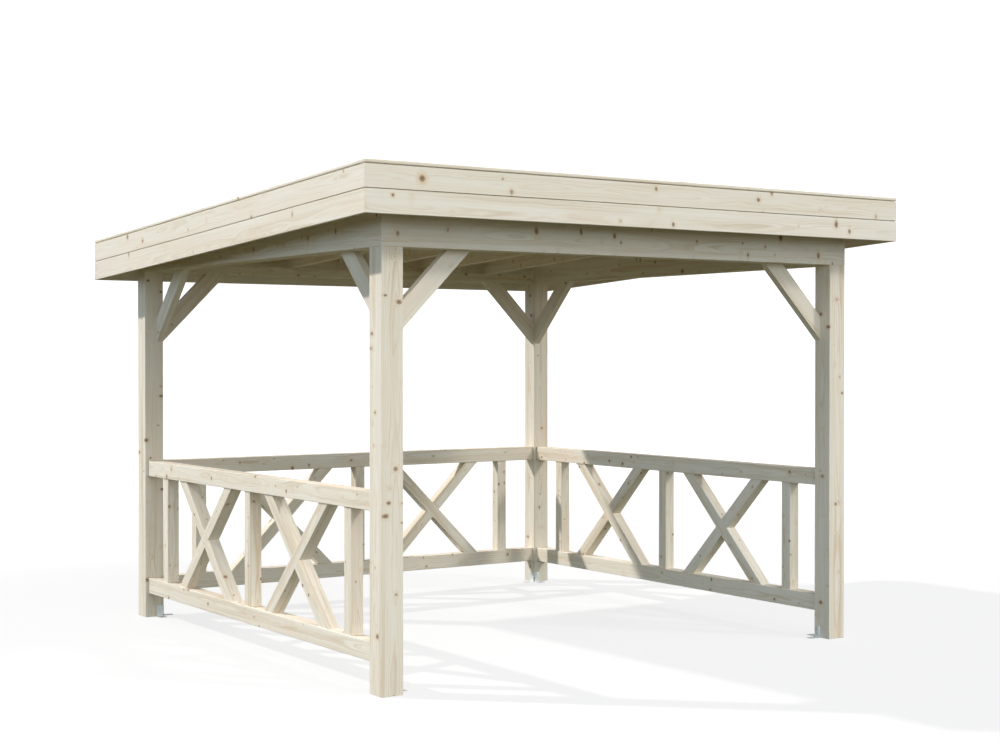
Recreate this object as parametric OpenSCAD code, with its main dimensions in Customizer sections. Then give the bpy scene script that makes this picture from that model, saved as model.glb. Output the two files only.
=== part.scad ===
// Garden gazebo: four posts carry a ring of beams and a nearly flat roof that falls to the back.
// Knee braces stiffen every corner, railings with crosses close three sides, the front is open.
// Millimetres, +Z up, origin on the ground at the middle of the plan, open front towards -Y.

/* [Posts] */
// Width over the outer faces of the posts, along X
frame_w = 3000; // [2400:10:3800]
// Depth over the outer faces of the posts, along Y
frame_d = 3000; // [2400:10:3800]
// Side of the square posts
post_w = 116; // [100:1:150]
// Height of the posts, from the ground to the beams
post_h = 2100; // [1900:10:2500]

/* [Beams] */
// Height of the front beam at its outer face
front_beam_h = 203; // [160:1:240]
// Height of the back beam at its outer face
back_beam_h = 49; // [45:1:120]
// Height of the two side beams
side_beam_h = 140; // [100:1:170]

/* [Knee braces] */
// Length of post and of beam between the corner and the far edge of a brace
brace_reach = 422; // [300:1:500]
// Width of a brace, across its grain
brace_w = 95; // [70:1:120]
// Thickness of a brace
brace_t = 44; // [30:1:60]

/* [Roof] */
// How far the roof stands out past the outer faces of the posts
overhang = 200; // [120:5:300]
// Height of the rafters
rafter_h = 125; // [100:5:160]
// Thickness of the rafters
rafter_t = 45; // [35:5:60]
// Number of rafters between the side beams
rafter_count = 5; // [3:1:7]
// Thickness of the roof boards
deck_t = 19; // [16:1:28]
// Height of one fascia board
fascia_board_h = 111; // [90:1:140]
// Open joint between the two boards of a fascia
fascia_joint = 3; // [2:1:6]
// Thickness of the fascia boards
fascia_t = 19; // [16:1:28]
// Width of the cap boards that cover the roof's edge
cap_w = 70; // [50:5:120]
// Thickness of the cap boards
cap_t = 18; // [14:1:28]

/* [Railings] */
// Height of the top rail's upper face above the ground
railing_h = 951; // [800:1:1100]
// Height of the bottom rail's lower face above the ground
railing_gap = 147; // [80:1:250]
// Height of the rails
rail_h = 92; // [60:1:120]
// Thickness of the rails
rail_t = 81; // [60:1:95]
// Side of the square balusters
baluster_w = 68; // [45:1:80]
// Clear distance between a post and the baluster next to it
baluster_inset = 225; // [120:1:260]
// Width and thickness of the bars of the crosses
cross_w = 68; // [45:1:80]

/* [Post feet] */
// Length of each leg of the steel angles
angle_leg = 65; // [50:1:80]
// Width of the steel angles
angle_w = 40; // [30:1:50]
// Thickness of the steel
angle_t = 2.5; // [2:0.5:4]
// Distance from the inner edge of the post to the angle
angle_edge = 5; // [2:1:20]
// Diameter of the anchor hole in the leg that lies on the ground
anchor_d = 11; // [8:0.5:13]
// Diameter of the screw holes in the upright leg
screw_d = 5; // [4:0.5:6]

/* [Hidden] */
half_w = frame_w / 2;
half_d = frame_d / 2;
inner_w = half_w - post_w;
inner_d = half_d - post_w;
// The rafters bear on the front and on the back beam, so the two heights set the fall
fall = (front_beam_h - back_beam_h) / frame_d;
roof_w = half_w + overhang;
roof_d = half_d + overhang;
deck_w = roof_w - fascia_t;
deck_d = roof_d - fascia_t;
deck_z = rafter_h;
fascia_z = deck_z + deck_t - 2 * fascia_board_h - fascia_joint;
rafter_pitch = frame_w / (rafter_count + 1);
railing_clear = railing_h - railing_gap - 2 * rail_h;
anchor_reach = 40;
screw_heights = [30, 50];
CUT = 1;
HOLE_FN = 48;
WOOD = [0.86, 0.81, 0.72];
BEAM_WOOD = [0.80, 0.76, 0.66];
SHADE_WOOD = [0.74, 0.69, 0.58];
STEEL = [0.70, 0.71, 0.72];

SIDES = ["front", "back", "left", "right"];
RAILED = ["left", "back", "right"];
CORNERS = ["front_left", "front_right", "back_left", "back_right"];
RAILING_PIECES = ["top_rail", "bottom_rail", "balusters", "rising_bars", "falling_bars"];
RAFTERS = [for (i = [1 : rafter_count]) i];

// -1 at the left or front corners, +1 at the right or back corners
function corner_x(corner) = corner == "front_left" || corner == "back_left" ? -1 : 1;
function corner_y(corner) = corner == "front_left" || corner == "front_right" ? -1 : 1;

// Height of the rafters' lower face at a given depth
function rafter_z(y) = post_h + front_beam_h - fall * (y + half_d);

// Half the clear length between the posts, along a side
function half_bay(side) = side == "front" || side == "back" ? inner_w : inner_d;

// Turns the frame of one side, where +X runs along the side and +Y points outwards, into place
module on_side(side) {
    if (side == "front") rotate([0, 0, 180]) translate([0, inner_d, 0]) children();
    if (side == "back") translate([0, inner_d, 0]) children();
    if (side == "left") rotate([0, 0, 90]) translate([0, inner_w, 0]) children();
    if (side == "right") rotate([0, 0, -90]) translate([0, inner_w, 0]) children();
}

// An outline in X and Z, extruded outwards from one depth to another
module upright(y0, y1) {
    translate([0, y1, 0]) rotate([90, 0, 0]) linear_extrude(y1 - y0) children();
}

// An outline in Y and Z, extruded along X between two places
module along_x(x0, x1) {
    translate([x0, 0, 0]) rotate([90, 0, 90]) linear_extrude(x1 - x0) children();
}

// One side of a rectangular ring with mitred corners, seen from above
module ring_side(side, w, d, t) {
    outer = [[-w, -d], [w, -d], [w, d], [-w, d]];
    inner = [[t - w, t - d], [w - t, t - d], [w - t, d - t], [t - w, d - t]];
    first = side == "front" ? 0 : side == "right" ? 1 : side == "back" ? 2 : 3;
    next = (first + 1) % 4;
    polygon([outer[first], outer[next], inner[next], inner[first]]);
}

// A layer of the roof that follows its fall, from y0 to y1, at a height above the rafters' foot
module roof_layer(x0, x1, y0, y1, rise, thickness) {
    z0 = rafter_z(y0) + rise;
    z1 = rafter_z(y1) + rise;
    along_x(x0, x1) polygon([[y0, z0], [y1, z1], [y1, z1 + thickness], [y0, z0 + thickness]]);
}

module post(corner) {
    x = corner_x(corner) < 0 ? -half_w : inner_w;
    y = corner_y(corner) < 0 ? -half_d : inner_d;
    color(WOOD) translate([x, y, 0]) cube([post_w, post_w, post_h]);
}

// The front and the back beam are planed to the fall of the roof, the side beams are level
module beam(side) {
    level = side == "left" || side == "right";
    top_front = level ? post_h + side_beam_h : rafter_z(-half_d);
    top_back = level ? post_h + side_beam_h : rafter_z(half_d);
    outline = [[-half_d, post_h], [half_d, post_h], [half_d, top_back], [-half_d, top_front]];
    color(BEAM_WOOD) intersection() {
        linear_extrude(2 * post_h) ring_side(side, half_w, half_d, post_w);
        along_x(-half_w, half_w) polygon(outline);
    }
}

// Two braces at 45 degrees, flush with the inner faces of the posts and of the beam
module braces(side) {
    end = half_bay(side);
    near = brace_reach - brace_w * sqrt(2);
    color(WOOD) on_side(side) for (way = [-1, 1]) upright(0, brace_t) polygon([
        [way * end, post_h - brace_reach],
        [way * end, post_h - near],
        [way * (end - near), post_h],
        [way * (end - brace_reach), post_h]
    ]);
}

module rail(side, z) {
    end = half_bay(side);
    y = (post_w - rail_t) / 2;
    color(WOOD) on_side(side) translate([-end, y, z]) cube([2 * end, rail_t, rail_h]);
}

module top_rail(side) {
    rail(side, railing_h - rail_h);
}

module bottom_rail(side) {
    rail(side, railing_gap);
}

module balusters(side) {
    first = half_bay(side) - baluster_inset - baluster_w / 2;
    y = (post_w - baluster_w) / 2;
    color(WOOD) on_side(side) for (x = [-first, 0, first])
        translate([x - baluster_w / 2, y, railing_gap + rail_h])
            cube([baluster_w, baluster_w, railing_clear]);
}

// One bar of a cross, leaning to the right or to the left, cut level at both rails
module cross_bar(lean) {
    foot = cross_w / sqrt(2);
    shift = railing_clear / 2;
    polygon([
        [-lean * shift - foot, -shift],
        [-lean * shift + foot, -shift],
        [lean * shift + foot, shift],
        [lean * shift - foot, shift]
    ]);
}

// The bars that lean one way, halved into the bars that lean the other way. At the back and on the
// right the bars change places at the crossing, so that the two side railings mirror each other
module cross_bars(side, lean) {
    first = half_bay(side) - baluster_inset - baluster_w / 2;
    y = (post_w - cross_w) / 2;
    middle = y + cross_w / 2;
    z = railing_gap + rail_h + railing_clear / 2;
    cut_beyond = side == "left" ? lean > 0 : lean < 0;
    cut_from = cut_beyond ? middle : y - CUT;
    cut_to = cut_beyond ? y + cross_w + CUT : middle;
    color(WOOD) on_side(side) for (x = [-first / 2, first / 2])
        translate([x, 0, z]) difference() {
            upright(y, y + cross_w) cross_bar(lean);
            upright(cut_from, cut_to) cross_bar(-lean);
        }
}

module railing_piece(side, piece) {
    if (piece == "top_rail") top_rail(side);
    if (piece == "bottom_rail") bottom_rail(side);
    if (piece == "balusters") balusters(side);
    if (piece == "rising_bars") cross_bars(side, 1);
    if (piece == "falling_bars") cross_bars(side, -1);
}

module rafter(i) {
    x = -half_w + i * rafter_pitch;
    color(SHADE_WOOD)
        roof_layer(x - rafter_t / 2, x + rafter_t / 2, -deck_d, deck_d, 0, rafter_h);
}

// The rafters at the roof's two edges, which the side fascias are nailed to
module verge_rafters() {
    color(SHADE_WOOD) for (x = [-deck_w, deck_w - rafter_t])
        roof_layer(x, x + rafter_t, -deck_d, deck_d, 0, rafter_h);
}

module roof_deck() {
    color(SHADE_WOOD) roof_layer(-deck_w, deck_w, -deck_d, deck_d, deck_z, deck_t);
}

// A mitred side of the roof's edge, between two heights above the rafters' foot
module roof_edge(side, rise, height, thickness) {
    intersection() {
        linear_extrude(2 * post_h) ring_side(side, roof_w, roof_d, thickness);
        roof_layer(-roof_w, roof_w, -roof_d, roof_d, rise, height);
    }
}

module fascia(side) {
    color(WOOD) for (i = [0, 1])
        roof_edge(side, fascia_z + i * (fascia_board_h + fascia_joint), fascia_board_h, fascia_t);
}

module cap(side) {
    color(WOOD) roof_edge(side, deck_z + deck_t, cap_t, cap_w);
}

// A steel angle with its corner at the origin, one leg on the ground along +X and one upright
module foot_angle() {
    difference() {
        translate([0, -angle_w / 2, 0]) union() {
            cube([angle_leg, angle_w, angle_t]);
            cube([angle_t, angle_w, angle_leg]);
        }
        translate([anchor_reach, 0, -CUT])
            cylinder(d = anchor_d, h = angle_t + 2 * CUT, $fn = HOLE_FN);
        for (z = screw_heights) translate([-CUT, 0, z]) rotate([0, 90, 0])
            cylinder(d = screw_d, h = angle_t + 2 * CUT, $fn = HOLE_FN);
    }
}

// Two angles stand at each post, on the faces that look along the sides of the frame
module foot_angles(corners) {
    off = angle_edge + angle_w / 2;
    color(STEEL) for (c = corners) {
        sx = corner_x(c);
        sy = corner_y(c);
        translate([sx * inner_w, sy * (inner_d + off), 0])
            rotate([0, 0, sx > 0 ? 180 : 0]) foot_angle();
        translate([sx * (inner_w + off), sy * inner_d, 0])
            rotate([0, 0, sy > 0 ? -90 : 90]) foot_angle();
    }
}

for (c = CORNERS) post(c);
for (s = SIDES) beam(s);
for (s = SIDES) braces(s);
for (s = RAILED) for (p = RAILING_PIECES)
    railing_piece(s, p);
for (i = RAFTERS) rafter(i);
verge_rafters();
roof_deck();
for (s = SIDES) fascia(s);
for (s = SIDES) cap(s);
foot_angles(["front_left", "front_right"]);  // foot_angles_front
foot_angles(["back_left", "back_right"]);  // foot_angles_back
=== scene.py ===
# %% [markdown]
# # A garden gazebo in planed spruce
# The frame is a set of straight timbers: posts, a ring of beams, knee braces, rafters, boards and
# railings. The solid model fixes where every one of them is. This script gives each timber its rounded
# arrises, its own grain and its knots, and the steel angles at the feet their finished edges and screws.

import bmesh
import bpy
import numpy as np
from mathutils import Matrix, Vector


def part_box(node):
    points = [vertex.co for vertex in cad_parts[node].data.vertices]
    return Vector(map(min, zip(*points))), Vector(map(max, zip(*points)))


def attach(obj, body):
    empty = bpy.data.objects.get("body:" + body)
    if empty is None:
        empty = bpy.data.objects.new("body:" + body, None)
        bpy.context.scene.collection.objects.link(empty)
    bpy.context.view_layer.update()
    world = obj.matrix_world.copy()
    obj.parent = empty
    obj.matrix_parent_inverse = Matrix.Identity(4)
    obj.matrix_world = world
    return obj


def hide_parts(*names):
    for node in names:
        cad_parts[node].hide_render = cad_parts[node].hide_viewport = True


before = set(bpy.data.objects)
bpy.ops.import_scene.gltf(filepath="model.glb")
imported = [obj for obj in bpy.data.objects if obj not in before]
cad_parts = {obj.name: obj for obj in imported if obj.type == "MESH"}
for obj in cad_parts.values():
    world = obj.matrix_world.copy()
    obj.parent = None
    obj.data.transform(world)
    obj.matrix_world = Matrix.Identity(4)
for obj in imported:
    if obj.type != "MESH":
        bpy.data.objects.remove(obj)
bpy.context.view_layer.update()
random = np.random.default_rng(41)
print("it has", len(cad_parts), "nodes")

# %% [markdown]
# ## The timbers' corners
# A node of the solid model may hold several solids that don't touch, such as two braces. Blender gets
# them as one mesh of loose triangles. Points at the same place are taken together first. Then every
# point takes the lowest label among its triangles' points, again and again, until nothing changes: each
# solid has ended up with one label. The corners that come out are all that a straight timber needs.
# Blender can separate loose parts too, but this way no mesh of the solid model is touched.

# %% Read the solids of a node
DECIMALS = 5
ON_LEVEL = 0.001


def solids(node):
    """The distinct corner points of each closed solid in a node, as a list of arrays."""
    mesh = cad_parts[node].data
    mesh.calc_loop_triangles()
    points = np.empty(len(mesh.vertices) * 3, np.float32)
    mesh.vertices.foreach_get("co", points)
    triangles = np.empty(len(mesh.loop_triangles) * 3, np.int32)
    mesh.loop_triangles.foreach_get("vertices", triangles)
    places = np.round(points.reshape(-1, 3), DECIMALS)
    points, place_of = np.unique(places, axis=0, return_inverse=True)
    triangles = place_of.reshape(-1)[triangles].reshape(-1, 3)
    label = np.arange(len(points))
    while True:
        lowest = label.copy()
        np.minimum.at(lowest, triangles, label[triangles].min(axis=1)[:, None])
        if np.array_equal(lowest, label):
            break
        label = lowest
    return [points[label == one].astype(float) for one in np.unique(label)]


print("left_balusters holds", len(solids("left_balusters")), "solids")

# %% [markdown]
# ## One function for every timber
# A planed timber is a section carried along a line. Its long edges, the arrises, are rounded by the
# planer. A section has three measures of its own: s runs along the grain, a and b across it. Three
# vectors place it in the frame, and they needn't be square to each other, so the same function makes a
# level beam, a rafter that follows the fall of the roof and a brace at 45 degrees. The two ends are
# planes, which may lean: a mitre or a level cut is a plane s = c + ka * a + kb * b.
#
# Each corner of the section becomes a quarter circle. At the ends the section first shrinks a little,
# which rounds the end too. The faces between the arrises are shaded flat and the arrises smooth.
#
# A box with a Bevel modifier would give nearly the same shape. But the wood's pattern has to know, at
# every point, how far along and across the timber it lies, and in these arrays that is known already.

# %% Round the corners of a section
ARC_STEPS = 4


def rounded(corners, radius, inset=0.0):
    """A convex outline with each corner turned into an arc.

    The arc's centre lies one radius in from both edges, at corner + radius * (n1 + n2) / (1 + n1 . n2)
    with the inward normals n1 and n2. Its points are the centre minus (radius - inset) times a unit
    vector that swings from n1 to n2.
    """
    before = corners - np.roll(corners, 1, axis=0)
    after = np.roll(corners, -1, axis=0) - corners
    n1 = np.stack([-before[:, 1], before[:, 0]], axis=1) / np.linalg.norm(before, axis=1)[:, None]
    n2 = np.stack([-after[:, 1], after[:, 0]], axis=1) / np.linalg.norm(after, axis=1)[:, None]
    turn = np.arccos(np.clip((n1 * n2).sum(axis=1), -1, 1))[:, None, None]
    centre = corners + radius * (n1 + n2) / (1 + (n1 * n2).sum(axis=1))[:, None]
    t = np.linspace(0, 1, ARC_STEPS)[None, :, None]
    swing = (np.sin((1 - t) * turn) * n1[:, None] + np.sin(t * turn) * n2[:, None]) / np.sin(turn)
    return (centre[:, None] - (radius - inset) * swing).reshape(-1, 2)


# %% Put arrays into a mesh object
def new_object(name, points, faces, smooth):
    """A mesh object from an array of points, a list of faces and one smooth flag for each face."""
    mesh = bpy.data.meshes.new(name)
    mesh.from_pydata(points.tolist(), [], faces)
    mesh.polygons.foreach_set("use_smooth", np.asarray(smooth, bool))
    mesh.update()
    made = bpy.data.objects.new(name, mesh)
    bpy.context.scene.collection.objects.link(made)
    return made


WELD = 1e-6


def weld(mesh, reach=WELD, flat_within=None):
    """Merges points within reach, and drops the faces that this leaves without an area.

    With flat_within, neighbouring faces that differ by less than that angle become one face.
    """
    work = bmesh.new()
    work.from_mesh(mesh)
    bmesh.ops.remove_doubles(work, verts=work.verts, dist=reach)
    if flat_within:
        bmesh.ops.dissolve_limit(work, angle_limit=flat_within, verts=work.verts, edges=work.edges)
    work.to_mesh(mesh)
    work.free()


def write_attribute(mesh, name, kind, values):
    """Stores an array on the mesh's points under a name that the materials read."""
    field = "vector" if kind == "FLOAT_VECTOR" else "value"
    layer = mesh.attributes.new(name, kind, "POINT")
    layer.data.foreach_set(field, np.asarray(values, np.float32).reshape(-1))


# %% [markdown]
# ## The pith
# A tree grows in rings about its pith. Where a timber was sawn from the log decides what its faces
# show: a post holds the pith, so all four faces have straight lines and knots at the same heights, and
# a board from the side of the log shows long arches. Each timber therefore gets the place of its pith
# in the section, and every point stores its distance along the grain and across from the pith in the
# attribute "grain". One spruce material then works for every timber, whichever way it runs.

# %% Carry a section along a line
PITH_DRIFT = 50.0


def carry(section, radius, start, end, end_radius, notch=None):
    """Points (s, a, b) of a closed timber, and its faces with their smooth flags.

    Ring k is the rounded section, inset by end_radius * (1 - sin) at the ends, at the distance
    s = c + ka * a + kb * b, moved in by end_radius * (1 - cos). A notch is a stretch of the middle where
    b is pressed flat to one side of zero, with a step before and after it.
    """
    angles = np.linspace(0, np.pi / 2, ARC_STEPS)
    rings = []
    for plane, way in ((start, 1), (end, -1)):
        end_rings = []
        for angle in angles:
            ab = rounded(section, radius, end_radius * (1 - np.sin(angle)))
            s = plane[0] + ab @ np.array(plane[1:]) + way * end_radius * (1 - np.cos(angle))
            end_rings.append(np.column_stack([s, ab]))
        rings.append(end_rings)
    middle = []
    if notch:
        half, side = notch
        full = rounded(section, radius)
        pressed = full.copy()
        pressed[:, 1] = np.where(side * full[:, 1] > 0, 0, full[:, 1])
        for s, ab in ((-half, full), (-half, pressed), (half, pressed), (half, full)):
            middle.append(np.column_stack([np.full(len(ab), s), ab]))
    rings = rings[0] + middle + rings[1][::-1]
    n = len(rings[0])
    count = len(rings)
    i = np.arange(n)
    j = (i + 1) % n
    quads = np.concatenate([np.stack([k * n + i, k * n + j, (k + 1) * n + j, (k + 1) * n + i], 1)
                            for k in range(count - 1)])
    on_arc = np.tile(i % ARC_STEPS != ARC_STEPS - 1, count - 1)
    at_end = np.zeros((count - 1, n), bool)
    at_end[: ARC_STEPS - 1] = True
    at_end[-(ARC_STEPS - 1):] = True
    smooth = list(on_arc | at_end.reshape(-1)) + [False, False]
    faces = quads.tolist() + [list(range(n))[::-1], list((count - 1) * n + i)]
    return np.concatenate(rings), faces, smooth


# %% Build timbers from the corners that the solid model gives
def unit(vector):
    """The vector over its length."""
    return np.array(vector, float) / np.linalg.norm(vector)


def hull_order(points):
    """The distinct points of a convex outline, in the order of their angle about the middle."""
    points = np.unique(np.round(points, DECIMALS), axis=0)
    away = points - points.mean(axis=0)
    return points[np.argsort(np.arctan2(away[:, 1], away[:, 0]))]


def end_plane(corners):
    """The c, ka and kb of the plane s = c + ka * a + kb * b through an end's corners, by least squares."""
    design = np.column_stack([np.ones(len(corners)), corners[:, 1:]])
    return np.linalg.lstsq(design, corners[:, 0], rcond=None)[0]


NO_BRANCH = (9.0, 9.0, 0.001)
END_ROUNDING = 0.0008


def timber(corners, along, across, up, radius, pith, end_radius=END_ROUNDING, notch=None, branch=None):
    """One timber's points, faces, smooth flags and fields, from its corners and three directions.

    The corners beyond a quarter of its half length belong to its two ends. A branch is a knot at a
    chosen place: its s and b from the timber's middle, and its radius. It runs straight through the
    timber along a.
    """
    basis = np.array([along, across, up], float)
    middle = (corners.min(axis=0) + corners.max(axis=0)) / 2
    local = (corners - middle) @ np.linalg.inv(basis)
    reach = np.abs(local[:, 0]).max() / 4
    start = local[local[:, 0] < -reach]
    end = local[local[:, 0] > reach]
    section = hull_order(start[:, 1:])
    points, faces, smooth = carry(section, radius, end_plane(start), end_plane(end), end_radius, notch)
    fields = {"grain": points - np.array([random.uniform(-PITH_DRIFT, PITH_DRIFT), *pith])}
    fields["tone"] = np.full(len(points), random.uniform())
    fields["branch"] = np.tile(NO_BRANCH, (len(points), 1))
    if branch:
        s0, b0, size = branch
        sizes = np.full(len(points), size)
        fields["branch"] = np.column_stack([points[:, 0] - s0, points[:, 2] - b0, sizes])
    placed = points @ basis + middle
    if np.linalg.det(basis) < 0:
        faces = [face[::-1] for face in faces]
    return placed, faces, smooth, fields


def join(name, parts, node, slot):
    """One object from several timbers, which stands in for a CAD node: the node is hidden, and the object
    hangs from the root body.
    """
    shift = 0
    faces = []
    smooth = []
    for part in parts:
        faces += [[shift + p for p in face] for face in part[1]]
        smooth += part[2]
        shift += len(part[0])
    made = new_object(name, np.concatenate([part[0] for part in parts]), faces, smooth)
    for field in parts[0][3]:
        values = np.concatenate([part[3][field] for part in parts])
        write_attribute(made.data, field, "FLOAT_VECTOR" if values.ndim == 2 else "FLOAT", values)
    weld(made.data)
    made.data.materials.append(finishes[slot])
    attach(made, "root")
    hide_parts(node)
    return made


def boxed_heart(spread=0.012):
    """The pith lies near the middle of the section."""
    return random.uniform(-spread, spread, 2)


def side_cut(depth=0.09, spread=0.02):
    """The pith lies outside the section, below its wide face."""
    way = random.choice([-1, 1])
    return np.array([way * (depth + random.uniform(0, depth / 2)), random.uniform(-spread, spread)])


# %% [markdown]
# ## Shader sums in Python
# A material is a network of small sums. Written as nodes and links they are hard to read, so a small
# class wraps a socket and gives it Python's operators: `late * 0.4 + 0.1` adds a Multiply and an Add
# node. Everything that isn't plain arithmetic comes from one method, which takes a node's type, its
# settings and what goes into its sockets.

# %% A socket with Python's operators
class Wire:
    """An output socket of a node tree. Arithmetic on it adds Math nodes."""

    def __init__(self, tree, socket=None):
        self.tree = tree
        self.socket = socket

    def node(self, kind, settings=None, sockets=None, output=0):
        """Adds a node: its settings first, then the values or links of its sockets.

        A ramp's stops are pairs of a place and a grey level.
        """
        made = self.tree.nodes.new(kind)
        for key, value in (settings or {}).items():
            if key == "stops":
                ramp = made.color_ramp.elements
                while len(ramp) < len(value):
                    ramp.new(0.5)
                for stop, (place, level) in zip(ramp, value):
                    stop.position = place
                    stop.color = (level, level, level, 1)
            else:
                setattr(made, key, value)
        for key, value in (sockets or {}).items():
            if isinstance(value, Wire):
                self.tree.links.new(value.socket, made.inputs[key])
            else:
                made.inputs[key].default_value = value
        return Wire(self.tree, made.outputs[output])

    def other(self, output):
        """Another output of the same node."""
        return Wire(self.tree, self.socket.node.outputs[output])

    def math(self, operation, *values):
        """A Math node with this operation on the given values or links."""
        return self.node("ShaderNodeMath", {"operation": operation}, dict(enumerate(values)))

    def __add__(self, other):
        return self.math("ADD", self, other)

    def __sub__(self, other):
        return self.math("SUBTRACT", self, other)

    def __rsub__(self, other):
        return self.math("SUBTRACT", other, self)

    def __mul__(self, other):
        return self.math("MULTIPLY", self, other)

    def __truediv__(self, other):
        return self.math("DIVIDE", self, other)

    def __rtruediv__(self, other):
        return self.math("DIVIDE", other, self)

    def __pow__(self, other):
        return self.math("POWER", self, other)

    __radd__ = __add__
    __rmul__ = __mul__

    def fraction(self):
        """What is left of the value after its whole part."""
        return self.math("FRACT", self)

    def size(self):
        """The value without its sign."""
        return self.math("ABSOLUTE", self)

    def smooth_step(self, low, high):
        """0 below low and 1 above high, with an S-shaped change between them."""
        settings = {"interpolation_type": "SMOOTHSTEP"}
        return self.node("ShaderNodeMapRange", settings, {"Value": self, "From Min": low, "From Max": high})

    def noise(self, stretch, detail=2.0, roughness=0.5):
        """Noise on this vector, with its own scale along each axis, in features per metre."""
        scaled = self.node("ShaderNodeVectorMath", {"operation": "MULTIPLY"}, {0: self, 1: stretch})
        sockets = {"Vector": scaled, "Scale": 1.0, "Detail": detail, "Roughness": roughness}
        return self.node("ShaderNodeTexNoise", None, sockets)

    def mix(self, low, high):
        """A colour between low and high, with this socket as the factor."""
        low = low if isinstance(low, Wire) else (*low, 1)
        high = high if isinstance(high, Wire) else (*high, 1)
        return self.node("ShaderNodeMix", {"data_type": "RGBA"}, {0: self, 6: low, 7: high}, 2)


def new_material(name):
    """An empty material with a Principled shader, and a Wire to start sums from."""
    material = bpy.data.materials.new(name)
    material.use_nodes = True
    tree = material.node_tree
    tree.nodes.clear()
    shader = tree.nodes.new("ShaderNodeBsdfPrincipled")
    target = tree.nodes.new("ShaderNodeOutputMaterial")
    tree.links.new(shader.outputs[0], target.inputs["Surface"])
    return material, shader, Wire(tree)


# %% [markdown]
# ## Spruce
# Fresh spruce is almost white, with a straw or pinkish cast. Its look comes from four things, each at
# its own scale. The growth rings of fast-grown spruce are some 5 mm apart: pale early wood, then a thin
# darker line of late wood. Long soft streaks run with the grain, a few centimetres wide. Fine fibres
# and pores are under a millimetre. And knots, where branches grew from the pith, are brown discs 8 to
# 25 mm across with a warm rim about them, and the grain flows round them.
#
# Noise stretched along each timber would look like wood from afar, but its lines wouldn't meet at the
# arrises. Rings about a pith do, because every face is then a cut through the same log.
#
# The rings are the fraction of the distance from the pith over the ring's width. Branches grow outwards
# from the pith, so the knots are worked out on a drum about the pith: a point is first moved straight
# out to a fixed radius, and there Voronoi cells scatter the branches. A knot is thus a cone from the
# pith, round on the wide face and long on an edge, as in the real timber. A knot that has its place by
# choice comes from the attribute "branch", which holds the way to its middle and its size.
#
# Boards are planed on the face that shows. One attribute is 1 on a face that is left rough from the saw:
# there the wood is duller and has faint saw marks across the grain, and its colour is painted much
# darker, a painted shade so that the roof's upper face doesn't wash out in the light from above.

# %% Make the spruce
RING_WIDTH = 0.0052
RING_WANDER = 0.034
RING_RIPPLE = 0.0030
RING_PUSH = 0.009
DRUM_RADIUS = 0.060
KNOT_LEAST = 0.0042
KNOT_SPREAD = 0.0065
SAW_PITCH = 0.0045
GRAIN_RELIEF = 0.0006
PINK = (0.830, 0.665, 0.545)
KNOT_RED = (0.380, 0.215, 0.120)
KNOT_DARK = (0.115, 0.070, 0.042)
KNOT_RIM = (0.210, 0.130, 0.080)
KNOT_GLOW = (0.690, 0.500, 0.300)
# painted shade: the much darker colour of a rough-sawn upper face, which keeps it from washing out in the
# light from above
SAWN_AND_SHADED = (0.400, 0.340, 0.255)


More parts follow.
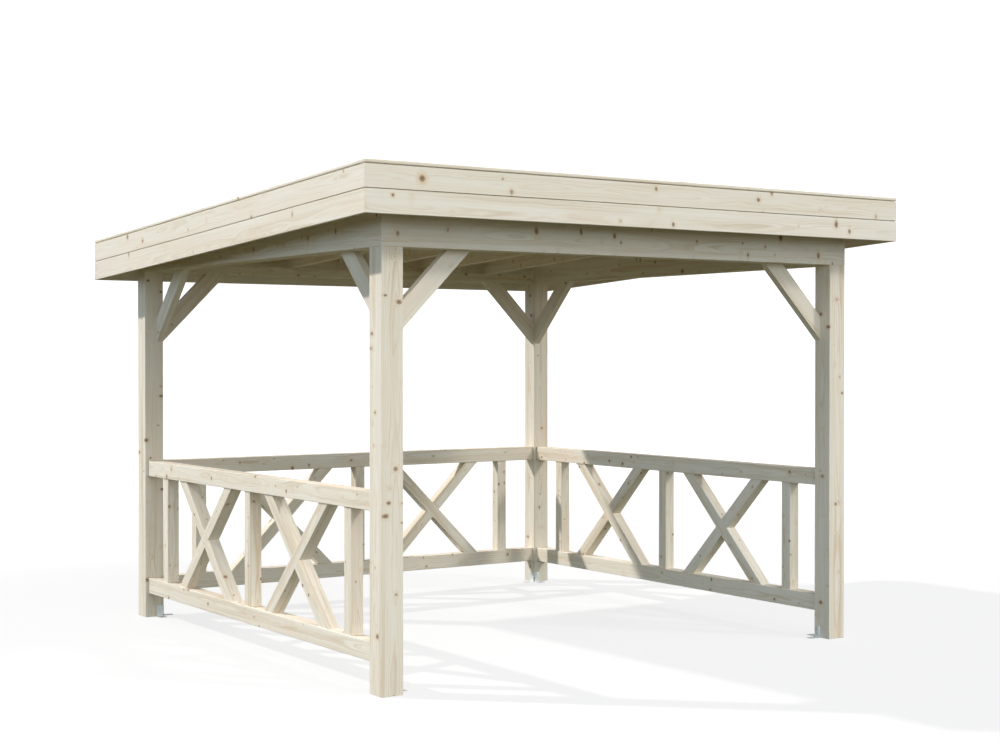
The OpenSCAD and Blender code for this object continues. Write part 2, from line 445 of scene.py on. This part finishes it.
def spruce(name, pale, straw, late_colour, cell_size, knots=1.0, contrast=1.0):
    """Procedural spruce in three colours.

    cell_size is the knots' spacing, knots scales them and contrast scales the growth rings' colour.
    """
    material, shader, start = new_material(name)
    grain = start.node("ShaderNodeAttribute", {"attribute_name": "grain"}, None, "Vector")
    branch = start.node("ShaderNodeAttribute", {"attribute_name": "branch"}, None, "Vector")
    tone = start.node("ShaderNodeAttribute", {"attribute_name": "tone"}, None, "Fac")
    sawn = start.node("ShaderNodeAttribute", {"attribute_name": "sawn"}, None, "Fac")
    s = grain.node("ShaderNodeSeparateXYZ", None, {0: grain})
    a = s.other(1)
    b = s.other(2)
    radius = (a * a + b * b) ** 0.5 + 0.0001

    # knots: cones that grow outwards from the pith, and the one at a chosen place
    out = DRUM_RADIUS / radius
    drum = start.node("ShaderNodeCombineXYZ", None, {0: s, 1: a * out, 2: b * out})
    sockets = {"Vector": drum, "Scale": 1 / cell_size}
    cell = start.node("ShaderNodeTexVoronoi", {"feature": "F1"}, sockets)
    pick = cell.node("ShaderNodeSeparateColor", None, {0: cell.other("Color")})
    size = (pick ** 2 * KNOT_SPREAD + KNOT_LEAST) * knots
    x = branch.node("ShaderNodeSeparateXYZ", None, {0: branch})
    y = x.other(1)
    chosen = (x * x + y * y) ** 0.5 / x.other(2)
    ragged = grain.noise((90, 160, 160), 2.0) * 0.5 + 0.75
    away = (cell * cell_size / size).math("MINIMUM", cell * cell_size / size, chosen) * ragged
    knot = 1 - away.smooth_step(0.60, 1.15)
    core = 1 - away.smooth_step(0.15, 0.60)
    rim = 1 - (away - 1.0).size().smooth_step(0.0, 0.25)
    near = 1 - away.smooth_step(0.8, 3.2)

    # growth rings, bent by slow wandering and pushed aside by the knots
    wander = grain.noise((1.7, 10, 10), 2.0)
    ripple = grain.noise((7, 60, 60), 2.0)
    bent = radius + wander * RING_WANDER + ripple * RING_RIPPLE + near * near * RING_PUSH
    ring = (bent / RING_WIDTH).fraction()
    stops = [(0.0, 0.25), (0.12, 0.0), (0.55, 0.10), (0.90, 1.0), (1.0, 0.25)]
    late = ring.node("ShaderNodeValToRGB", {"stops": stops}, {0: ring})
    strength = grain.noise((1.3, 22, 22), 2.0).smooth_step(0.30, 0.70)

    # good and bad years: groups of rings that are darker, which draw the arches of a board
    years = start.node("ShaderNodeCombineXYZ", None, {0: bent, 1: s * 0.004, 2: tone})
    group = years.noise((95, 95, 40), 2.0, 0.6).smooth_step(0.47, 0.66)
    streak = grain.noise((0.9, 38, 38), 3.0, 0.6).smooth_step(0.33, 0.70)
    patch = grain.noise((2.2, 9, 9), 1.0).smooth_step(0.45, 0.75)
    fibre = grain.noise((14, 900, 900), 2.0, 0.6)

    colour = (streak * 0.45 + tone * 0.25).mix(pale, straw)
    colour = (patch * 0.30).mix(colour, PINK)
    colour = (group * (strength * 0.40 + 0.16) * contrast).mix(colour, late_colour)
    colour = (late * (strength * 0.50 + 0.10) * contrast).mix(colour, late_colour)
    colour = (fibre.smooth_step(0.25, 0.75) * 0.12).mix(colour, late_colour)
    glow = near * 0.30 + (1 - chosen.smooth_step(0.9, 3.0)) * 0.35
    colour = glow.mix(colour, KNOT_GLOW)
    heart = (pick.other(1) * 0.55 + core * 0.45).mix(KNOT_RED, KNOT_DARK)
    colour = (knot * 0.92).mix(colour, heart)
    colour = (rim * 0.35).mix(colour, KNOT_RIM)
    scratch = (s / SAW_PITCH).fraction().smooth_step(0.6, 1.0) * ripple
    # painted shade: a rough-sawn upper face is painted much darker, besides its faint saw marks
    colour = (sawn * (scratch * 0.3 + 0.60)).mix(colour, SAWN_AND_SHADED)

    height = late * 0.25 + fibre * 0.55 - rim * 0.5 - scratch * sawn
    sockets = {"Strength": 0.35, "Distance": GRAIN_RELIEF, "Height": height}
    bump = start.node("ShaderNodeBump", None, sockets)
    start.tree.links.new(colour.socket, shader.inputs["Base Color"])
    rough = 0.70 - late * 0.10 - knot * 0.12 + sawn * 0.2
    start.tree.links.new(rough.socket, shader.inputs["Roughness"])
    start.tree.links.new(bump.socket, shader.inputs["Normal"])
    shader.inputs["Specular IOR Level"].default_value = 0.30
    return material


PALE = (0.850, 0.810, 0.720)
STRAW = (0.780, 0.705, 0.570)
LATE = (0.600, 0.450, 0.280)
planed = spruce("planed_spruce", PALE, STRAW, LATE, cell_size=0.071, knots=1.1)
boards = spruce("board_spruce", PALE, STRAW, LATE, cell_size=0.112, knots=1.2, contrast=0.7)
print("spruce with", len(planed.node_tree.nodes), "nodes")

# %% [markdown]
# ## Galvanised steel
# The angles at the feet are dipped in zinc, which freezes into flat crystals a few millimetres wide.
# Neighbouring crystals differ a little in brightness and gloss, so Voronoi cells carry both. An even
# grey would do from afar, and would look like paint up close.

# %% Make the zinc
ZINC_DARK = (0.76, 0.79, 0.78)
ZINC_BRIGHT = (0.92, 0.94, 0.93)
CRYSTALS_PER_METRE = 160.0
ZINC_RELIEF = 0.0003


def galvanised(name):
    """Zinc in flat crystals, each with its own brightness and gloss."""
    material, shader, start = new_material(name)
    place = start.node("ShaderNodeTexCoord", None, None, "Object")
    sockets = {"Vector": place, "Scale": CRYSTALS_PER_METRE}
    cell = start.node("ShaderNodeTexVoronoi", {"feature": "F1"}, sockets)
    pick = cell.node("ShaderNodeSeparateColor", None, {0: cell.other("Color")})
    cloud = place.noise((30, 30, 30), 3.0)
    colour = (pick * 0.6 + cloud * 0.4).mix(ZINC_DARK, ZINC_BRIGHT)
    start.tree.links.new(colour.socket, shader.inputs["Base Color"])
    start.tree.links.new((pick * 0.22 + 0.30).socket, shader.inputs["Roughness"])
    sockets = {"Strength": 0.3, "Distance": ZINC_RELIEF, "Height": cloud + pick}
    bump = start.node("ShaderNodeBump", None, sockets)
    start.tree.links.new(bump.socket, shader.inputs["Normal"])
    shader.inputs["Metallic"].default_value = 0.50
    return material


zinc = galvanised("galvanised_zinc")
finishes = {slot: planed for slot in ("posts", "beams", "braces", "rails", "infill", "rafters")}
finishes.update({slot: boards for slot in ("roof_boards", "fascia", "caps")})
print("finishes for", ", ".join(finishes), "and zinc for the steel")

# %% [markdown]
# ## Posts
# The posts are square timbers sawn with the pith inside, stood on end. Their arrises are only just
# rounded, by 2 to 3 mm, which catches a fine line of light down each edge. Each could be a scaled cube,
# but corners taken from the solid model keep it in place when a size changes there.

# %% Make the posts
X, Y, Z = np.eye(3)
CORNERS = ("front_left", "front_right", "back_left", "back_right")
SIDES = ("front", "back", "left", "right")
RAILED = ("left", "back", "right")
POST_ARRIS = 0.0025
POST_END_ROUNDING = 0.0015

for corner in CORNERS:
    node = "post_" + corner
    part = timber(solids(node)[0], Z, X, Y, POST_ARRIS, boxed_heart(), end_radius=POST_END_ROUNDING)
    join("timber_" + node, [part], node, "posts")
post_low, post_high = [np.array(v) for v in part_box("post_front_left")]
post_width = post_high[0] - post_low[0]
print("posts", round(post_width * 1000), "mm square and", round(post_high[2], 3), "m high")

# %% [markdown]
# ## Beams, rafters and the fall of the roof
# The front and back beam are planed to the fall, and the rafters and roof boards follow it. The fall is
# the drop of the beams' highest edges over the depth between those edges. A sloping piece isn't turned:
# its length vector simply drops as it runs back, so its ends stay upright, as a carpenter's plumb cut.

# %% Make the beams
BEAM_ARRIS = 0.0025
front_low, front_high = [np.array(v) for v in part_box("beam_front")]
back_low, back_high = [np.array(v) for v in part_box("beam_back")]
fall = (front_high[2] - back_high[2]) / (back_low[1] - front_low[1])
DOWN_BACK = np.array([0, 1, -fall])
RUN = {"front": X, "back": X, "left": Y, "right": Y}
CROSS = {"front": Y, "back": Y, "left": X, "right": X}
print("the roof falls", round(fall * 1000), "mm in every metre")

for side in SIDES:
    node = "beam_" + side
    part = timber(solids(node)[0], RUN[side], CROSS[side], Z, BEAM_ARRIS, boxed_heart(spread=0.03))
    join("timber_" + node, [part], node, "beams")

# %% Make the rafters
RAFTER_ARRIS = 0.002
rafters = sorted(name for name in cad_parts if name.startswith("rafter_"))
for node in rafters + ["verge_rafters"]:
    parts = []
    for one in solids(node):
        pith = side_cut(depth=0.07, spread=0.03)
        parts.append(timber(one, DOWN_BACK, X, Z, RAFTER_ARRIS, pith))
    join("timber_" + node, parts, node, "rafters")
print(len(rafters), "rafters between the beams, and the verge rafters")

# %% [markdown]
# ## Knee braces
# Each brace is one piece at 45 degrees, cut upright where it meets the post and level where it meets
# the beam. Its length vector points up and in, so both cuts come out of the end planes by themselves,
# where a turned box would have to be trimmed with two Booleans.

# %% Make the knee braces
BRACE_ARRIS = 0.002
for side in SIDES:
    node = "braces_" + side
    parts = []
    for one in solids(node):
        towards = -np.sign(one.mean(axis=0) @ RUN[side])
        along = unit(towards * RUN[side] + Z)
        up = np.cross(along, CROSS[side])
        parts.append(timber(one, along, CROSS[side], up, BRACE_ARRIS, side_cut(depth=0.05)))
    join("timber_" + node, parts, node, "braces")
    print(node, "holds", len(parts))

# %% [markdown]
# ## Railings
# A railing is a top and a bottom rail, three balusters and two crosses. The bars of a cross are halved
# into each other: each loses half its thickness where the other passes, so both lie in one plane. The
# notch is made in the arrays: in that stretch the section is pressed flat to its middle. A Boolean could
# cut it as well, but the arrays keep the faces few and even. The solid model's corners near the crossing
# tell which side of a bar is cut away.

# %% Make the rails and balusters
RAIL_ARRIS = 0.003
BAR_ARRIS = 0.002
for side in RAILED:
    for name in ("top_rail", "bottom_rail"):
        node = f"{side}_{name}"
        part = timber(solids(node)[0], RUN[side], CROSS[side], Z, RAIL_ARRIS, boxed_heart(spread=0.02))
        join("timber_" + node, [part], node, "rails")
    node = side + "_balusters"
    parts = [timber(one, Z, X, Y, BAR_ARRIS, boxed_heart(spread=0.015)) for one in solids(node)]
    join("timber_" + node, parts, node, "infill")
    print(side, "railing: two rails and", len(parts), "balusters")

# %% Make the crosses
OUTWARDS = {"left": -X, "back": Y, "right": X}
for side in RAILED:
    run = np.cross(OUTWARDS[side], Z)
    for name in ("rising_bars", "falling_bars"):
        node = f"{side}_{name}"
        parts = []
        for one in solids(node):
            away = one - one.mean(axis=0)
            lean = np.sign(((away @ run) * away[:, 2]).sum())
            along = unit(lean * run + Z)
            outwards = one @ OUTWARDS[side]
            thickness = np.ptp(outwards)
            # the halving's own corners lie near the middle of the bar, on the side that is cut away
            near = np.linalg.norm(away, axis=1) < thickness * 1.5
            level = (outwards.min() + outwards.max()) / 2
            notch = (thickness / 2, np.sign((outwards[near] - level).sum()))
            across = np.cross(OUTWARDS[side], along)
            pith = boxed_heart(spread=0.02)
            parts.append(timber(one, along, across, OUTWARDS[side], BAR_ARRIS, pith, notch=notch))
        join("timber_" + node, parts, node, "infill")
        print(node, "holds", len(parts), "bars of", round(thickness * 1000), "mm")

# %% [markdown]
# ## Roof boards
# The roof is boarded with tongued and grooved boards across the rafters. Each board has a small chamfer
# along both edges, which makes the V-shaped lines of a boarded ceiling, and a tongue that fills the
# groove of the next board, so no light comes through. The planed face is turned down, where it is seen
# from inside, and the upper face is left rough from the saw. That upper face is also painted darker, a
# painted shade against the strong light from above. One slab with lines in its material would
# be less work, but every board has its own grain, and the joints have a real depth.

# %% Make the roof boards
BOARD_COVER = 0.120
CHAMFER = 0.003
TONGUE = 0.006
JOINT = 0.0006

deck = solids("roof_deck")[0]
deck_front = deck[:, 1].min()
deck_back = deck[:, 1].max()
board_count = round((deck_back - deck_front) / BOARD_COVER)
board_cover = (deck_back - deck_front) / board_count
deck_left = deck[:, 0].min()
deck_right = deck[:, 0].max()
front_corners = deck[deck[:, 1] < deck_front + ON_LEVEL]
deck_thickness = front_corners[:, 2].max() - front_corners[:, 2].min()
deck_height = front_corners[:, 2].mean()


def board_outline(width, thickness):
    """A chamfered board with a tongue on its back edge, as points in a and b, anticlockwise."""
    edge = width / 2
    face = thickness / 2
    flat_to = edge - CHAMFER
    upright_to = face - CHAMFER
    lip = TONGUE / 2
    bottom = [(-flat_to, -face), (flat_to, -face), (edge, -upright_to), (edge, -lip)]
    tongue = [(edge + TONGUE, -lip), (edge + TONGUE, lip)]
    top = [(edge, lip), (edge, upright_to), (flat_to, face), (-flat_to, face), (-edge, upright_to)]
    groove = [(-edge, lip), (-edge + TONGUE, lip), (-edge + TONGUE, -lip), (-edge, -lip)]
    return np.array(bottom + tongue + top + groove + [(-edge, -upright_to)])


def deck_board(number):
    """One board: its outline at both ends, moved back by its number of covers. The last has no tongue."""
    outline = board_outline(board_cover - JOINT, deck_thickness)
    if number == board_count - 1:
        outline[:, 0] = np.minimum(outline[:, 0], (board_cover - JOINT) / 2)
    n = len(outline)
    length = deck_right - deck_left
    ends = [np.column_stack([np.full(n, s), outline]) for s in (0, length)]
    local = np.concatenate(ends)
    y = deck_front + (number + 0.5) * board_cover
    origin = np.array([deck_left, y, deck_height - fall * (y - deck_front)])
    basis = np.array([X, DOWN_BACK, Z])
    i = np.arange(n)
    j = (i + 1) % n
    faces = np.stack([i, j, j + n, i + n], 1).tolist() + [list(range(n))[::-1], list(range(n, 2 * n))]
    drift = random.uniform(-PITH_DRIFT, PITH_DRIFT)
    pith = side_cut(depth=0.03, spread=0.04)[::-1]
    fields = {"grain": local - np.array([drift, *pith])}
    fields["tone"] = np.full(2 * n, random.uniform())
    fields["branch"] = np.tile(NO_BRANCH, (2 * n, 1))
    # the upper face, rough from the saw, which the material also paints darker as painted shade
    fields["sawn"] = (local[:, 2] > deck_thickness / 4).astype(float)
    return local @ basis + origin, faces, [False] * len(faces), fields


join("roof_boards", [deck_board(k) for k in range(board_count)], "roof_deck", "roof_boards")
print(board_count, "roof boards,", round(board_cover * 1000, 1), "mm cover")

# %% [markdown]
# ## Fascia and caps
# Two boards one above the other hide the rafters' ends, with a narrow open joint between them, and a
# flat cap board covers the roof's edge. Both rings are mitred at the corners. The upper board stops
# short of the cap by a few millimetres, so that rain can't creep up between them, and this shows as a
# dark line under the cap. A real gap draws that line in any light, which a painted one wouldn't. A few
# boards have one strong knot, each at its own place: its way along and up from the board's middle, and
# its radius.

# %% Make the fascia and the caps
FASCIA_ARRIS = 0.002
CAP_ARRIS = 0.005
DRIP_GAP = 0.0032
BOARD_KNOTS = {
    ("fascia_front", "upper"): (-1.40, 0.002, 0.0150),
    ("fascia_front", "lower"): (-1.555, 0.030, 0.0070),
    ("fascia_left", "upper"): (0.92, -0.012, 0.0090),
    ("fascia_right", "lower"): (0.40, 0.010, 0.0095),
    ("fascia_back", "upper"): (0.75, -0.015, 0.0100),
}

for side in SIDES:
    runs_level = side in ("front", "back")
    along = X if runs_level else DOWN_BACK
    across = DOWN_BACK if runs_level else X
    node = "fascia_" + side
    pair = sorted(solids(node), key=lambda corners: corners[:, 2].mean())
    parts = []
    for row, one in zip(("lower", "upper"), pair):
        if row == "upper":
            raised = one[:, 2] + fall * one[:, 1]
            one[raised > raised.mean(), 2] -= DRIP_GAP
        branch = BOARD_KNOTS.get((node, row))
        pith = side_cut(depth=0.05, spread=0.03)
        parts.append(timber(one, along, across, Z, FASCIA_ARRIS, pith, branch=branch))
    join("boards_" + node, parts, node, "fascia")
    node = "cap_" + side
    pith = side_cut(depth=0.04, spread=0.03)[::-1]
    join("boards_" + node, [timber(solids(node)[0], along, across, Z, CAP_ARRIS, pith)], node, "caps")
print(len(SIDES), "sides with two fascia boards and a cap each")

# %% [markdown]
# ## Steel angles at the feet
# Each post stands between two bent steel angles, one leg on the ground with a hole for an anchor and one
# leg screwed to the post. The solid model already has their true holes, so its mesh is copied, its loose
# triangles are merged, and a Bevel takes the sharpness off the cut edges.

# %% Make the steel angles
EDGE_ROUNDING = 0.0006
MERGE_LOOSE = 1e-5
FLAT_WITHIN = 0.01
SHARP_FROM = 0.6

for node in ("foot_angles_front", "foot_angles_back"):
    plates = bpy.data.objects.new("steel_" + node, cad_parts[node].data.copy())
    bpy.context.scene.collection.objects.link(plates)
    weld(plates.data, MERGE_LOOSE, FLAT_WITHIN)
    plates.data.materials.clear()
    plates.data.materials.append(zinc)
    bevel = plates.modifiers.new("cut edges", "BEVEL")
    bevel.width = EDGE_ROUNDING
    bevel.segments = 2
    bevel.limit_method = "ANGLE"
    bevel.angle_limit = SHARP_FROM
    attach(plates, "root")
    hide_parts(node)
    print(node, "has", len(plates.data.polygons), "faces before its Bevel")

# %% [markdown]
# ## Screws
# Two pan-head screws hold the upright leg of each angle. A screw head is a profile turned about its
# axis: a flat top with a sunk six-sided socket, a round shoulder and a short side. A Screw modifier
# could turn it too, but not with six sides inside and a round outside.

# %% Make the screws
HEAD_RADIUS = 0.0048
HEAD_HEIGHT = 0.0022
SOCKET_RADIUS = 0.0020
SOCKET_DEPTH = 0.0014
HEAD_SIDES = 24
HEAD_RADII = (1, 1, 0.93, 0.75)
HEAD_LEVELS = (0, 0.5, 0.82, 1)
SCREW_HEIGHTS = (0.030, 0.050)


def screw_head(centre, towards):
    """A pan head: rings of points at the radii and heights of its profile, about an axis.

    The ring of the socket follows a hexagon: its radius is the flat distance over the cosine of the
    angle from the middle of the nearest flat.
    """
    radii = np.append(np.array(HEAD_RADII) * HEAD_RADIUS, [SOCKET_RADIUS, SOCKET_RADIUS])
    heights = np.append(HEAD_LEVELS, [1, 1 - SOCKET_DEPTH / HEAD_HEIGHT]) * HEAD_HEIGHT
    angle = np.linspace(0, 2 * np.pi, HEAD_SIDES, endpoint=False)
    hexagon = np.cos(np.pi / 6) / np.cos((angle + np.pi / 6) % (np.pi / 3) - np.pi / 6)
    shape = np.ones((len(radii), HEAD_SIDES))
    shape[-2:] = hexagon
    side = unit(np.cross(towards, Z))
    spokes = np.cos(angle)[:, None] * side + np.sin(angle)[:, None] * np.cross(towards, side)
    points = centre + (radii[:, None] * shape)[..., None] * spokes + heights[:, None, None] * towards
    i = np.arange(HEAD_SIDES)
    j = (i + 1) % HEAD_SIDES
    faces = []
    for k in range(len(radii) - 1):
        near_ring = k * HEAD_SIDES
        far_ring = near_ring + HEAD_SIDES
        faces += np.stack([near_ring + i, near_ring + j, far_ring + j, far_ring + i], 1).tolist()
    faces += [list((len(radii) - 1) * HEAD_SIDES + i), list(i[::-1])]
    return points.reshape(-1, 3), faces


def screws(name, node):
    """Both screws of every angle in a node, on the outer face of its upright leg."""
    points = []
    faces = []
    for one in solids(node):
        top = one[one[:, 2] > one[:, 2].max() - ON_LEVEL]
        foot = one[one[:, 2] < ON_LEVEL]
        leg = (top.min(axis=0) + top.max(axis=0)) / 2
        towards = (foot.min(axis=0) + foot.max(axis=0)) / 2 - leg
        towards[2] = 0
        towards = unit(towards)
        face = leg + towards * np.abs(np.ptp(top, axis=0) @ towards) / 2
        for height in SCREW_HEIGHTS:
            head, head_faces = screw_head(np.array([face[0], face[1], height]), towards)
            faces += [[p + len(points) * len(head) for p in one_face] for one_face in head_faces]
            points.append(head)
    made = new_object(name, np.concatenate(points), faces, [False] * len(faces))
    made.data.materials.append(zinc)
    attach(made, "root")
    return len(points)


print(screws("screws_front", "foot_angles_front") + screws("screws_back", "foot_angles_back"), "screws")

# %% [markdown]
# ## Floor, light and camera
# The gazebo stands on a pale studio floor, which curves up into a pale wall far behind it, so no view
# shows a floor's edge, as a plane would. Near the object the floor shows its soft shadow, and further out
# it fades to white.
#
# A low sun from behind on the left lights the outer faces of that side. A weaker lamp stands opposite it,
# in front on the right: it lights the fascia and the posts, reaches in under the roof as far as the right
# end of the back railing, and leaves the beam under the overhang in shade. A large soft lamp high in
# front softens its shadows. The sky adds an even light that is brightest near the horizon in front,
# cooler on the left and dimmest behind. Hardly any light comes from below, so the underside of the roof
# stays dark: the floor is kept out of the bounced light.
#
# The camera stands at eye height, almost 8 m from the front left corner, and looks very slightly down.

# %% Make the floor
FLOOR_RADIUS = 45.0
COVE_RADIUS = 15.0
WALL_HEIGHT = 45.0
FADE_FROM = 3.0
FADE_TO = 13.0
GLOW_NEAR = (0.78, 0.78, 0.78)
GLOW_FAR = (1.0, 1.0, 1.0)
FLOOR_GREY = 0.16


def cove(radius, bend, height, sides=96, steps=10):
    """A floor that curves up into a round wall: a profile turned about the Z axis.

    The profile runs out along the floor, round a quarter circle, then straight up.
    """
    turn = np.linspace(0, np.pi / 2, steps)
    out = np.concatenate([[radius / 4, radius], radius + bend * np.sin(turn[1:]), [radius + bend]])
    up = np.concatenate([[0, 0], bend * (1 - np.cos(turn[1:])), [height]])
    angle = np.linspace(0, 2 * np.pi, sides, endpoint=False)
    x = np.outer(out, np.cos(angle))
    y = np.outer(out, np.sin(angle))
    points = np.stack([x, y, np.repeat(up[:, None], sides, 1)], 2).reshape(-1, 3)
    i = np.arange(sides)
    j = (i + 1) % sides
    faces = [list(range(sides))]
    for k in range(len(out) - 1):
        inner = k * sides
        outer = inner + sides
        faces += np.stack([inner + i, outer + i, outer + j, inner + j], 1).tolist()
    return new_object("floor", points, faces, [False] + [True] * (len(faces) - 1))


floor = cove(FLOOR_RADIUS, COVE_RADIUS, WALL_HEIGHT)
floor.visible_diffuse = False
floor.visible_glossy = False
floor.visible_shadow = False
pale_floor, floor_shader, floor_start = new_material("pale_floor")
place = floor_start.node("ShaderNodeTexCoord", None, None, "Object")
distance = place.node("ShaderNodeVectorMath", {"operation": "LENGTH"}, {0: place}, "Value")
white = distance.smooth_step(FADE_FROM, FADE_TO)
glow = white.mix(GLOW_NEAR, GLOW_FAR)
floor_start.tree.links.new(glow.socket, floor_shader.inputs["Emission Color"])
floor_shader.inputs["Emission Strength"].default_value = 1.0
floor_shader.inputs["Base Color"].default_value = (FLOOR_GREY, FLOOR_GREY, FLOOR_GREY, 1)
floor_shader.inputs["Roughness"].default_value = 1.0
floor_shader.inputs["Specular IOR Level"].default_value = 0.0
floor.data.materials.append(pale_floor)
print("floor of", len(floor.data.polygons), "faces")


# %% Make the lamps
def distant_lamp(name, towards, energy, angle, colour):
    """A sun lamp whose light comes from a direction. A wide angle gives soft shadows."""
    data = bpy.data.lights.new(name, "SUN")
    data.energy = energy
    data.angle = angle
    data.color = colour
    lamp = bpy.data.objects.new(name, data)
    bpy.context.scene.collection.objects.link(lamp)
    lamp.rotation_euler = Vector(unit(towards)).to_track_quat("Z", "Y").to_euler()
    print(name, "stands towards", towards)


distant_lamp("sun", (-0.55, 0.51, 0.66), energy=3.35, angle=0.03, colour=(1.0, 0.968, 0.935))
distant_lamp("fill_lamp", (0.48, -0.64, 0.60), energy=1.22, angle=0.15, colour=(1.0, 0.985, 0.95))
distant_lamp("soft_lamp", (-0.10, -0.64, 0.77), energy=1.04, angle=0.9, colour=(0.96, 0.97, 1.0))

# %% Make the sky
SKY_LEFT = (1.14, 1.46, 1.80)
SKY_FRONT = (1.64, 1.79, 1.86)
SKY_RIGHT = (1.15, 1.15, 1.14)
SKY_BEHIND = (0.50, 0.51, 0.54)
SKY_HIGH = (0.18, 0.18, 0.20)
BELOW = (0.13, 0.13, 0.075)
HORIZON_FROM = -0.06
HORIZON_TO = 0.02
BAND_FROM = 0.30
BAND_TO = 0.45

world = bpy.data.worlds.new("sky")
bpy.context.scene.world = world
world.use_nodes = True
world.node_tree.nodes.clear()
sky = Wire(world.node_tree)
direction = sky.node("ShaderNodeTexCoord", None, None, "Generated")
x = direction.node("ShaderNodeSeparateXYZ", None, {0: direction})
y = x.other(1)
z = x.other(2)
flat = (x * x + y * y + 0.0001) ** 0.5
front = (y / flat).math("MINIMUM", y / flat, 0) ** 2
left = (x / flat).math("MINIMUM", x / flat, 0) ** 2
right = (x / flat).math("MAXIMUM", x / flat, 0) ** 2
horizon = right.mix(left.mix(front.mix(SKY_BEHIND, SKY_FRONT), SKY_LEFT), SKY_RIGHT)
above = z.smooth_step(BAND_FROM, BAND_TO).mix(horizon, SKY_HIGH)
colour = z.smooth_step(HORIZON_FROM, HORIZON_TO).mix(BELOW, above)
background = sky.node("ShaderNodeBackground", None, {"Color": colour})
target = world.node_tree.nodes.new("ShaderNodeOutputWorld")
world.node_tree.links.new(background.socket, target.inputs["Surface"])
print("sky with", len(world.node_tree.nodes), "nodes")

# %% Make the camera
SENSOR_WIDTH = 36.0
LENS = 60.19
FROM_CORNER = (-3.8615, -6.7515)
EYE_HEIGHT = 1.5907
LOOK_DOWN = 0.655
LOOK_RIGHT = 33.82

scene = bpy.context.scene
scene.view_settings.view_transform = "Standard"
camera_data = bpy.data.cameras.new("camera")
camera_data.sensor_width = SENSOR_WIDTH
camera_data.lens = LENS
camera = bpy.data.objects.new("camera", camera_data)
scene.collection.objects.link(camera)
half_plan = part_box("post_back_right")[1]
camera.location = (FROM_CORNER[0] - half_plan[0], FROM_CORNER[1] - half_plan[1], EYE_HEIGHT)
camera.rotation_euler = np.radians([90 - LOOK_DOWN, 0, -LOOK_RIGHT])
scene.camera = camera
print("camera at", [round(v, 2) for v in camera.location])
